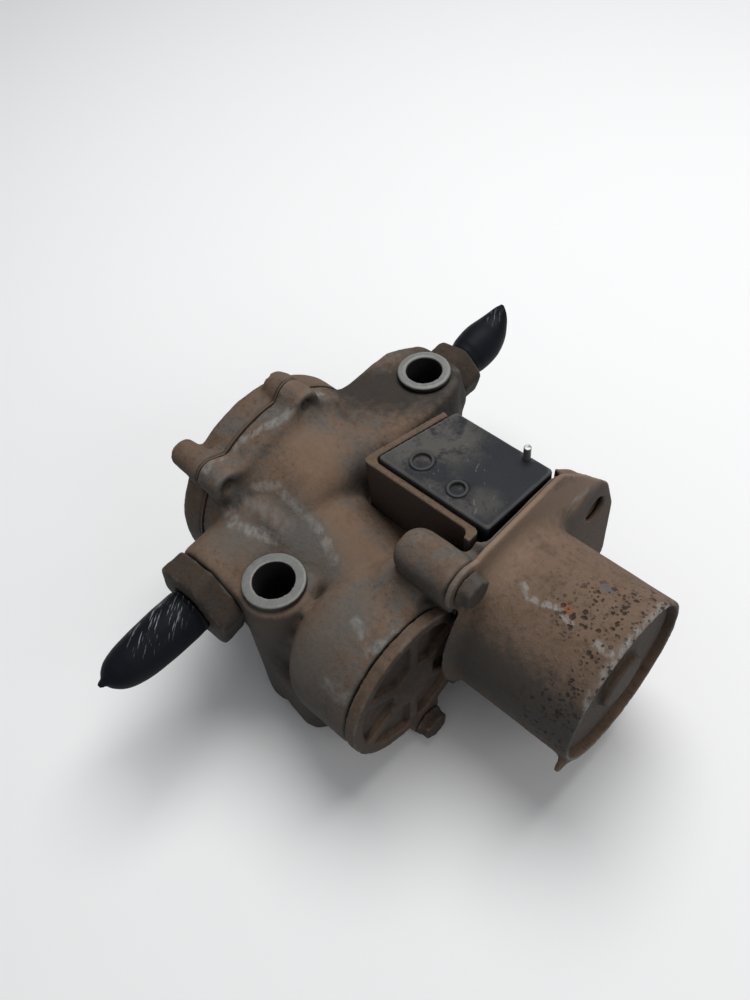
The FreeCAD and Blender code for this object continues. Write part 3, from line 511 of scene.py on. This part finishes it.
def weathered(node, cell, rounds=2, lump=0.0, lump_size=0.02, wear_rounds=24, crisp=None):
    """Rebuilds a CAD node as one even skin: cells of the given size, evened a few rounds so that its
    edges soften, then each point p moves to p + n * lump * uneven(p). crisp(x) is the share of the
    evening that is left out at x, for faces that meet another part."""
    obj = merged_copy(node, node + "_skin")
    rebuild = obj.modifiers.new("cells", "REMESH")
    rebuild.mode = "VOXEL"
    rebuild.voxel_size = cell * 1.0
    depsgraph = bpy.context.evaluated_depsgraph_get()
    mesh = bpy.data.meshes.new_from_object(obj.evaluated_get(depsgraph))
    obj.modifiers.clear()
    obj.data = mesh
    edges = np.empty(len(mesh.edges) * 2, int)
    mesh.edges.foreach_get("vertices", edges)
    sharp = read_points(mesh)
    points = neighbour_mean(sharp, edges.reshape(-1, 2), rounds)
    if crisp:
        points += (sharp - points) * crisp(sharp[:, 0])[:, None]
    if lump:
        mesh.vertices.foreach_set("co", points.ravel())
        mesh.update()
        points = points + read_normals(mesh) * (lump * uneven(points, lump_size, 5))[:, None]
    mesh.vertices.foreach_set("co", points.ravel())
    mesh.update()
    mark_surface(mesh, wear_rounds)
    shade(mesh)
    return obj


def grid_mesh(name, rows):
    """Surface from a grid of points, rows by turns; each row is a closed ring and the end rings are
    closed by a middle point."""
    count, turns = rows.shape[:2]
    points = rows.reshape(-1, 3)
    index = np.arange(count * turns).reshape(count, turns)
    after = np.roll(index, -1, axis=1)
    quads = np.stack([index[:-1], after[:-1], after[1:], index[1:]], axis=-1).reshape(-1, 4)
    faces = quads.tolist()
    first = len(points)
    points = np.vstack([points, rows[0].mean(axis=0), rows[-1].mean(axis=0)])
    faces += np.stack([after[0], index[0], np.full(turns, first)], axis=-1).tolist()
    faces += np.stack([index[-1], after[-1], np.full(turns, first + 1)], axis=-1).tolist()
    mesh = bpy.data.meshes.new(name)
    mesh.from_pydata(points.tolist(), [], faces)
    mesh.update()
    return mesh


def outward(mesh):
    """Makes every face point out of the closed shell."""
    shell = bmesh.new()
    shell.from_mesh(mesh)
    bmesh.ops.recalc_face_normals(shell, faces=shell.faces)
    shell.to_mesh(mesh)
    shell.free()


def sweep(path, side, radii, turns, squeeze, ripple):
    """Ring of radius r carried along a path: point(t, a) = path(t) + r(t, a) (side cos a + up sin a),
    where up is square to the path and to side; squeeze flattens the ring along up and ripple(t, a)
    is added to the radius."""
    along = np.gradient(path, axis=0)
    along /= np.linalg.norm(along, axis=1)[:, None]
    up = np.cross(along, side)
    up /= np.linalg.norm(up, axis=1)[:, None]
    angle = np.linspace(0.0, 2.0 * math.pi, turns, endpoint=False)
    radius = radii[:, None] + ripple(np.linspace(0.0, 1.0, len(path))[:, None], angle[None, :])
    flat = radius * squeeze[:, None]
    return (path[:, None, :] + radius[..., None] * np.cos(angle)[None, :, None] * side
            + flat[..., None] * np.sin(angle)[None, :, None] * up[:, None, :])


def through(stations, count):
    """Smooth values through rows of stations: Catmull-Rom, even steps between stations."""
    table = np.asarray(stations, float)
    padded = np.vstack([2 * table[0] - table[1], table, 2 * table[-1] - table[-2]])
    where = np.linspace(0.0, len(table) - 1 - 1e-9, count)
    cell = where.astype(int)
    share = (where - cell)[:, None]
    before, start, end, after = (padded[cell + k] for k in range(4))
    return 0.5 * (2 * start + (end - before) * share
                  + (2 * before - 5 * start + 4 * end - after) * share ** 2
                  + (3 * start - before - 3 * end + after) * share ** 3)


def dress(obj, material, body, slot, *nodes):
    """Gives a finished piece its material and its place in the frame."""
    obj.data.materials.clear()
    obj.data.materials.append(material)
    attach(obj, body)
    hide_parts(*nodes)
    return obj


def paint_node(node, material):
    """Gives a CAD node its material."""
    slots = frame["nodes"][node].material_slots
    if not slots:
        frame["nodes"][node].data.materials.append(material)
    for place in slots:
        place.material = material


def settings():
    return bpy.context.scene.valve_finish


def sizes():
    return bpy.context.scene.valve_surface


# ---- operators ----
class VALVE_OT_body(bpy.types.Operator):
    """Body casting and end cover: soft cast skin under dried mud."""
    bl_idname = "valve.body"
    bl_label = "Body casting"

    def execute(self, context):
        look = settings()
        size = sizes()
        marks = (
            (((-88, -57, 49), (-89, -37, 48), (-81, -19, 52), (-80, -10, 54), (-84, 11, 45)),
             0.0032, 0.8),
            (((-77, -58, 29), (-69, -62, 30), (-59, -59, 30), (-49, -54, 27)), 0.0042, 0.8),
            (((-72, -43, 36), (-63, -38, 39), (-53, -40, 38), (-43, -39, 34), (-33, -40, 30),
              (-22, -45, 26)), 0.0032, 0.6),
            (((-74, -52, 33), (-60, -50, 35), (-50, -50, 33)), 0.0080, 0.30),
            (((8, -62, 29), (14, -64, 28)), 0.0035, 0.7),
            (((13, -86, 14), (21, -85, 14)), 0.0060, 0.5),
            (((20, -68, 26), (24, -60, 29), (25, -50, 30)), 0.0030, 0.8),
            (((-58, -82, 8), (-60, -78, 24)), 0.0040, 0.4),
        )
        # dark is the colour of painted shadows
        dark = darker(look.mud_in_shade, 0.55)
        warm = (0.185, 0.116, 0.074)
        grey = (0.100, 0.096, 0.086)
        stains_and_painted_light = ((((-63, -66, 30), (-53, -46, 36), (-30, -48, 28), (-24, -46, 26)), 0.018, 0.6, grey),
                  (((-2, -84, 15), (3, -74, 25), (2, -60, 30)), 0.018, 0.55, grey),
                  (((-66, -14, 45), (-40, -26, 38), (-10, -36, 28)), 0.016, 0.6, warm),
                  (((-62, -54, 34), (-54, -52, 34)), 0.007, 0.5, (0.120, 0.074, 0.058)),
                  # painted shadows: over the rear wing, a low band near x -42 and low on the front
                  (((-80, 30, 30), (-64, 42, 34), (-50, 66, 30), (-70, 74, 20)), 0.026, 0.9, dark),
                  (((-45, -4, 18), (-40, 30, 14)), 0.012, 0.8, dark),
                  (((-20, -80, -20), (-12, -84, -40)), 0.030, 0.6, dark))
        skin = muddy_metal("Cast body", look.casting, look.mud, 0.55, look, 0.25, 0.4, marks,
                           None, stains_and_painted_light)
        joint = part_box("end_cover")[1].x
        body = weathered("valve_body", size.body_cell, 10, size.cast_grain, 0.016, 24,
                         lambda x: np.clip(1.0 - (x - joint - 0.001) / 0.004, 0.0, 1.0))
        dress(body, skin, HOUSING, "body_casting", "valve_body")
        lid = muddy_metal("Cast cover", look.casting, darker(look.mud, 0.86), 0.70, look, 0.25, 0.3)
        cover = weathered("end_cover", size.cover_cell, 5, size.cast_grain, 0.014, 24,
                          lambda x: np.clip(1.0 - (joint - x) / 0.004, 0.0, 1.0))
        dress(cover, lid, HOUSING, "cover_casting", "end_cover")
        return {"FINISHED"}


class VALVE_OT_gear_cover(bpy.types.Operator):
    """Ribbed gear cover with its fasteners."""
    bl_idname = "valve.gear_cover"
    bl_label = "Gear cover"

    def execute(self, context):
        look = settings()
        size = sizes()
        # painted shadow: a dark spot in a pocket of the cover
        pocket_shadow = (((30, -62, 5), (30, -62, 6)), 0.029, 0.62, look.soil_and_shade)
        plate = muddy_metal("Gear cover", darker(look.can_paint, 0.75), darker(look.mud, 0.85), 0.6,
                            look, 0.6, stains_and_painted_light=(pocket_shadow,))
        cover = weathered("gear_cover", size.fine_cell * 1.3, 5, 0.00022, 0.009, 40)
        dress(cover, plate, HOUSING, "gear_cover", "gear_cover")
        steel = muddy_metal("Rusty fasteners", (0.070, 0.062, 0.055), darker(look.mud, 0.55), 0.35,
                            look, 0.8, 0.6)
        for node in ("gear_cover_bolts", "motor_bolts", "end_cover_screws"):
            screws = weathered(node, size.fine_cell, 14, 0.00026, 0.006, 20)
            dress(screws, steel, HOUSING, "fastener_steel", node)
        return {"FINISHED"}


class VALVE_OT_sleeves(bpy.types.Operator):
    """Steel bolt sleeves with worn rings."""
    bl_idname = "valve.sleeves"
    bl_label = "Bolt sleeves"

    def execute(self, context):
        look = settings()
        steel = sleeve_steel("Sleeve steel", look)
        for node in ("front_bolt_sleeve", "rear_bolt_sleeve"):
            sleeve = weathered(node, sizes().fine_cell * 1.1, 2, 0.00005, 0.004, 12)
            dress(sleeve, steel, HOUSING, "sleeve_steel", node)
        return {"FINISHED"}


class VALVE_OT_motor(bpy.types.Operator):
    """Motor can with its flange, and the end plate sunk in its rim."""
    bl_idname = "valve.motor"
    bl_label = "Motor can"

    def execute(self, context):
        look = settings()
        size = sizes()
        marks = (
            (((52, -9, 39), (57, -12, 38), (63, -11, 38), (69, -9, 39), (77, -11, 38)), 0.0019, 1.4),
            (((90, -12, 38), (95, -12, 38)), 0.0028, 1.2),
            (((99, -30, 26), (99, -14, 37), (99, 4, 40), (99, 24, 33)), 0.0034, 1.1),
            (((38, 49, 24), (38, 58, 21)), 0.0030, 0.9),
        )
        # painted light: the first stain is a lighter band along the top of the flange where it is lit
        stains_and_painted_light = ((((37, -14, 47), (37, 12, 50), (37, 36, 38), (37, 60, 22)), 0.018, 0.85,
                   (0.245, 0.168, 0.118)),
                  # painted shade: a dark band low along the can's -Y side
                  (((50, -38, 12), (100, -38, 12)), 0.028, 0.82, (0.043, 0.040, 0.036)),
                  (((72, -7.5, 39), (73.5, -7.3, 39)), 0.0026, 0.8, (0.21, 0.080, 0.030)),
                  (((77.5, 11, 38), (79, 11, 38)), 0.0032, 0.8, (0.090, 0.097, 0.105)),
                  # painted shade: a dark patch low at the flange's +Y end
                  (((37, 60, 12), (37, 64, 8)), 0.011, 0.75, look.mud_in_shade))
        pits = (((80, -4, 39), (88, 6, 39), (97, 20, 36), (95, -8, 39), (97, -30, 26), (88, -38, 8)),
                0.022)
        steel = muddy_metal("Motor steel", look.can_paint, darker(look.mud, 0.95), 0.55, look, 0.35,
                            0.5, marks, pits, stains_and_painted_light)
        can = weathered("motor_can", size.can_cell, 5, 0.0001, 0.018, 14)
        dress(can, steel, HOUSING, "motor_can", "motor_can")
        plate = muddy_metal("End plate steel", darker(look.can_paint, 0.55), darker(look.mud, 0.6), 0.5,
                            look, 0.4, 0.6)
        end = weathered("motor_end_plate", size.fine_cell * 1.3, 2, 0.00008, 0.008, 12)
        dress(end, plate, HOUSING, "motor_end", "motor_end_plate")
        return {"FINISHED"}


class VALVE_OT_relay(bpy.types.Operator):
    """Relay block, its potted rings and pin, and the strap folded round it."""
    bl_idname = "valve.relay"
    bl_label = "Relay and strap"

    def execute(self, context):
        look = settings()
        size = sizes()
        block = weathered("relay_housing", size.fine_cell * 1.2, 2, 0.00005, 0.012, 12)
        dress(block, relay_block("Relay moulding", look), HOUSING, "relay_plastic", "relay_housing")
        rings = weathered("relay_plugs", 0.0004, 2, 0.0, 0.01, 6)
        dress(rings, moulded("Potting", (0.052, 0.051, 0.051), 0.001, 0.8, 0.5), HOUSING,
              "relay_plug", "relay_plugs")
        steel = muddy_metal("Strap steel", darker(look.can_paint, 0.85), darker(look.mud, 0.9), 0.6,
                            look, 0.5)
        strap = weathered("relay_strap", size.fine_cell, 3, 0.00008, 0.014, 14)
        dress(strap, steel, HOUSING, "strap_steel", "relay_strap")
        pin = weathered("terminal_pin", 0.0003, 2, 0.0, 0.01, 6)
        dress(pin, turned_metal("Terminal plating", (0.42, 0.41, 0.39), 0.35, 0.4), HOUSING,
              "terminal", "terminal_pin")
        return {"FINISHED"}


class VALVE_OT_hose_ends(bpy.types.Operator):
    """Gland nuts and rubber boots on both ends of the waterway."""
    bl_idname = "valve.hose_ends"
    bl_label = "Hose ends"

    def execute(self, context):
        look = settings()
        size = sizes()
        nut_skin = muddy_metal("Gland nuts", darker(look.casting, 0.28), darker(look.mud, 0.31), 0.5,
                               look, 0.3, 0.5)
        rubber = boot_rubber("Boot rubber", look)
        for end in ("front", "rear"):
            nut = weathered(end + "_gland_nut", size.fine_cell * 1.4, 9, 0.00035, 0.012, 24)
            dress(nut, nut_skin, HOUSING, "gland_nut", end + "_gland_nut")
        boots = (
            ("front", ((-97.6, 7.15, 11.4, 1.0), (-101, 6.99, 11.6, 1.0), (-112, 6.6, 11.7, 1.0),
                       (-126, 6.2, 11.2, 0.96), (-135, 6.7, 10.0, 0.92), (-141, 7.6, 8.0, 0.84),
                       (-144.5, 8.2, 5.2, 0.75), (-146.4, 8.6, 2.4, 0.7), (-148, 8.7, 1.5, 0.7),
                       (-149, 8.7, 0.7, 0.7))),
            ("rear", ((89.6, 15.98, 9.2, 1.0), (93, 16.14, 9.6, 1.0), (99, 17.0, 10.8, 1.0),
                      (107, 18.6, 11.0, 0.97), (114, 21.4, 9.4, 0.92), (119.5, 25.7, 6.4, 0.82),
                      (122.6, 29.6, 3.6, 0.7), (124.4, 32.2, 0.7, 0.6))),
        )
        for end, stations in boots:
            values = through(stations, BOOT_ROWS)
            path = np.tile(MOTOR, (BOOT_ROWS, 1))
            path[:, 0] = middle_x("front_port_boot")
            path[:, 1:] += values[:, :2] * MM

            def wrinkle(along, angle):
                """Shallow rings near the root and long folds that gather towards the tip."""
                folds = np.sin(5 * angle + 7 * along) * np.clip(along - 0.45, 0, 1) ** 1.5 * 1.8
                rings = np.sin(along * 60.0 + 1.5 * np.sin(angle)) * np.exp(-along * 7.0)
                return size.boot_wrinkle * (folds + 0.5 * rings)

            rows = sweep(path, np.array([1.0, 0.0, 0.0]), values[:, 2] * MM, BOOT_TURNS,
                         values[:, 3], wrinkle)
            mesh = grid_mesh(end + "_boot", rows)
            outward(mesh)
            mark_surface(mesh, 8)
            shade(mesh)
            boot = put_object(end + "_boot", mesh)
            dress(boot, rubber, HOUSING, "boot_rubber", end + "_port_boot")
        return {"FINISHED"}


def middle_x(node):
    """Middle of a part along X."""
    low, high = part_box(node)
    return 0.5 * (low.x + high.x)


class VALVE_OT_inside(bpy.types.Operator):
    """Finishes of the parts inside the housing, and the wound springs."""
    bl_idname = "valve.inside"
    bl_label = "Inner parts"

    def execute(self, context):
        bronze = turned_metal("Bearing bronze", (0.40, 0.22, 0.075), 0.2, 0.38)
        ground = turned_metal("Ground steel", (0.48, 0.48, 0.49), 0.1, 0.22, 0.0004)
        gears = turned_metal("Gear steel", (0.22, 0.22, 0.23), 0.35, 0.35)
        seal = moulded("Seal rubber", (0.012, 0.012, 0.013), 0.0008, 0.55, 0.1)
        polymer = moulded("Gear nylon", (0.62, 0.58, 0.44), 0.0016, 0.5, 0.45)
        brass = turned_metal("Barb brass", (0.16, 0.105, 0.045), 0.6, 0.5)
        copper = layered("Wound copper", (0.42, 0.12, 0.035), (0.10, 0.025, 0.010), 0.0009)
        coil = layered("Coil copper", (0.42, 0.12, 0.035), (0.10, 0.025, 0.010), 0.0007, "Z")
        sheets = layered("Laminations", (0.14, 0.145, 0.16), (0.03, 0.03, 0.035), 0.0007)
        looks = {
            "end_cover_gasket": moulded("Gasket fibre", (0.105, 0.072, 0.050), 0.0007, 0.85, 0.2),
            "port_liner": bronze, "thrust_washer": bronze, "layshaft_bushes": bronze,
            "valve_rotor": turned_metal("Rotor steel", (0.40, 0.40, 0.38), 0.25, 0.3),
            "rotor_ring_gear": gears, "layshaft_pinion": gears, "layshaft_gear": gears,
            "compound_pinion": gears, "motor_pinion": gears,
            "compound_wheel": polymer, "idler_gear": polymer,
            "layshaft": ground, "compound_pin": ground, "idler_pin": ground,
            "armature_shaft": ground, "front_bearing": ground, "rear_bearing": ground,
            "rotor_seals": seal, "front_gland_seal": seal, "rear_gland_seal": seal,
            "front_hose_barb": brass, "rear_hose_barb": brass,
            "armature_core": sheets, "relay_core": sheets, "armature_windings": copper,
            "relay_coil": coil,
            "commutator": turned_metal("Commutator copper", (0.46, 0.17, 0.07), 0.3, 0.3),
            "field_magnets": moulded("Ferrite", (0.028, 0.028, 0.030), 0.0009, 0.7, 0.0),
            "brush_card": moulded("Brush card", (0.060, 0.026, 0.012), 0.0012, 0.6, 0.1),
            "carbon_brushes": moulded("Brush carbon", (0.018, 0.018, 0.018), 0.0006, 0.5, 0.0),
            "brush_springs": turned_metal("Spring steel", (0.36, 0.36, 0.37), 0.1, 0.3),
            "relay_board": moulded("Circuit laminate", (0.020, 0.100, 0.035), 0.0012, 0.4, 0.0),
            "contact_plunger": turned_metal("Contact copper", (0.45, 0.19, 0.09), 0.2, 0.35),
        }
        for node, material in looks.items():
            paint_node(node, material)
        self.contact_coil(looks["brush_springs"])
        return {"FINISHED"}

    def contact_coil(self, steel):
        """Coil spring: a wire carried along the helix (r cos w, r sin w, z0 + h w / total)."""
        low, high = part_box("contact_spring")
        middle = 0.5 * (low + high)
        wire = COIL_WIRE * MM
        radius = 0.5 * (high.x - low.x) - wire
        angle = np.linspace(0.0, 2.0 * math.pi * COIL_TURNS, COIL_POINTS)
        rise = np.linspace(low.z + wire, high.z - wire, COIL_POINTS)
        path = np.stack([middle.x + radius * np.cos(angle), middle.y + radius * np.sin(angle), rise],
                        axis=1)
        side = np.stack([np.cos(angle), np.sin(angle), np.zeros(COIL_POINTS)], axis=1)
        along = np.gradient(path, axis=0)
        along /= np.linalg.norm(along, axis=1)[:, None]
        up = np.cross(along, side)
        ring = np.linspace(0.0, 2.0 * math.pi, WIRE_SIDES, endpoint=False)
        rows = (path[:, None, :] + wire * (np.cos(ring)[None, :, None] * side[:, None, :]
                                           + np.sin(ring)[None, :, None] * up[:, None, :]))
        mesh = grid_mesh("contact_coil", rows)
        outward(mesh)
        shade(mesh)
        coil = dress(put_object("contact_coil", mesh), steel, HOUSING, "spring_steel",
                     "contact_spring")
        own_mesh(coil)


class VALVE_OT_stage(bpy.types.Operator):
    """Pale floor, soft studio light and the camera."""
    bl_idname = "valve.stage"
    bl_label = "Floor, light and camera"

    def execute(self, context):
        square = ((-1, -1), (1, -1), (1, 1), (-1, 1))
        mesh = bpy.data.meshes.new("floor")
        mesh.from_pydata([(FLOOR_HALF * x, FLOOR_HALF * y, CAD_BOX[0][2]) for x, y in square], [],
                         [(0, 1, 2, 3)])
        floor = put_object("floor", mesh)
        paint = Paint("Pale floor", specular=0.2)
        tone = paint.noise(0.3, 2.0)
        pale = paint.mix(tone, (0.93, 0.93, 0.93), (0.95, 0.95, 0.95))
        mesh.materials.append(paint.finish(pale, 0.9))
        world = bpy.data.worlds.new("Studio")
        world.use_nodes = True
        world.node_tree.nodes["Background"].inputs["Color"].default_value = (0.95, 0.97, 1.0, 1.0)
        world.node_tree.nodes["Background"].inputs["Strength"].default_value = 0.26
        context.scene.world = world
        context.scene.view_settings.view_transform = "Standard"
        middle = at(0, -5, 0)
        lamps = (("key", (-0.15, 0.42, 1.10), 0.9, 11.6), ("fill", (1.10, 0.05, 0.75), 0.7, 2.6))
        for name, place, span, power in lamps:
            lamp = bpy.data.lights.new(name, "AREA")
            lamp.shape = "DISK"
            lamp.size = span
            lamp.energy = power
            obj = bpy.data.objects.new(name, lamp)
            context.scene.collection.objects.link(obj)
            obj.location = middle + Vector(place)
            obj.rotation_euler = (-Vector(place)).to_track_quat("-Z", "Y").to_euler()
        self.camera(context)
        return {"FINISHED"}

    def camera(self, context):
        """Camera above the front right, looking down on the relay and the motor."""
        right = Vector((math.cos(CAMERA_YAW), math.sin(CAMERA_YAW), 0.0))
        level = Vector((-math.sin(CAMERA_YAW), math.cos(CAMERA_YAW), 0.0))
        forward = level * math.cos(CAMERA_PITCH) - Vector((0.0, 0.0, math.sin(CAMERA_PITCH)))
        down = forward.cross(right)
        across = right * math.cos(CAMERA_ROLL) + down * math.sin(CAMERA_ROLL)
        drop = down * math.cos(CAMERA_ROLL) - right * math.sin(CAMERA_ROLL)
        eye = bpy.data.cameras.new("camera")
        eye.sensor_width = 36.0
        eye.lens = CAMERA_FOCAL * eye.sensor_width
        eye.clip_start = 0.01
        obj = bpy.data.objects.new("camera", eye)
        context.scene.collection.objects.link(obj)
        turn = Matrix((across, -drop, -forward)).transposed().to_4x4()
        obj.matrix_world = Matrix.Translation(at(*CAMERA_PLACE)) @ turn
        context.scene.camera = obj


class VALVE_PT_panel(bpy.types.Panel):
    """Lists the pieces and the stage."""
    bl_label = "Rotary valve"
    bl_idname = "VALVE_PT_panel"
    bl_space_type = "VIEW_3D"
    bl_region_type = "UI"
    bl_category = "Valve"

    def draw(self, context):
        for operator in OPERATORS:
            self.layout.operator(operator.bl_idname)
        for group in (settings(), sizes()):
            for key in group.__annotations__:
                self.layout.prop(group, key)


OPERATORS = (VALVE_OT_body, VALVE_OT_gear_cover, VALVE_OT_sleeves, VALVE_OT_motor, VALVE_OT_relay,
             VALVE_OT_hose_ends, VALVE_OT_inside, VALVE_OT_stage)
CLASSES = (ValveFinishSettings, ValveSurfaceSettings) + OPERATORS + (VALVE_PT_panel,)


def register():
    for item in CLASSES:
        bpy.utils.register_class(item)
    bpy.types.Scene.valve_finish = bpy.props.PointerProperty(type=ValveFinishSettings)
    bpy.types.Scene.valve_surface = bpy.props.PointerProperty(type=ValveSurfaceSettings)


def unregister():
    del bpy.types.Scene.valve_surface
    del bpy.types.Scene.valve_finish
    for item in reversed(CLASSES):
        bpy.utils.unregister_class(item)


def main():
    register()
    for operator in OPERATORS:
        group, name = operator.bl_idname.split(".")
        getattr(getattr(bpy.ops, group), name)()


if __name__ == "__main__":
    main()
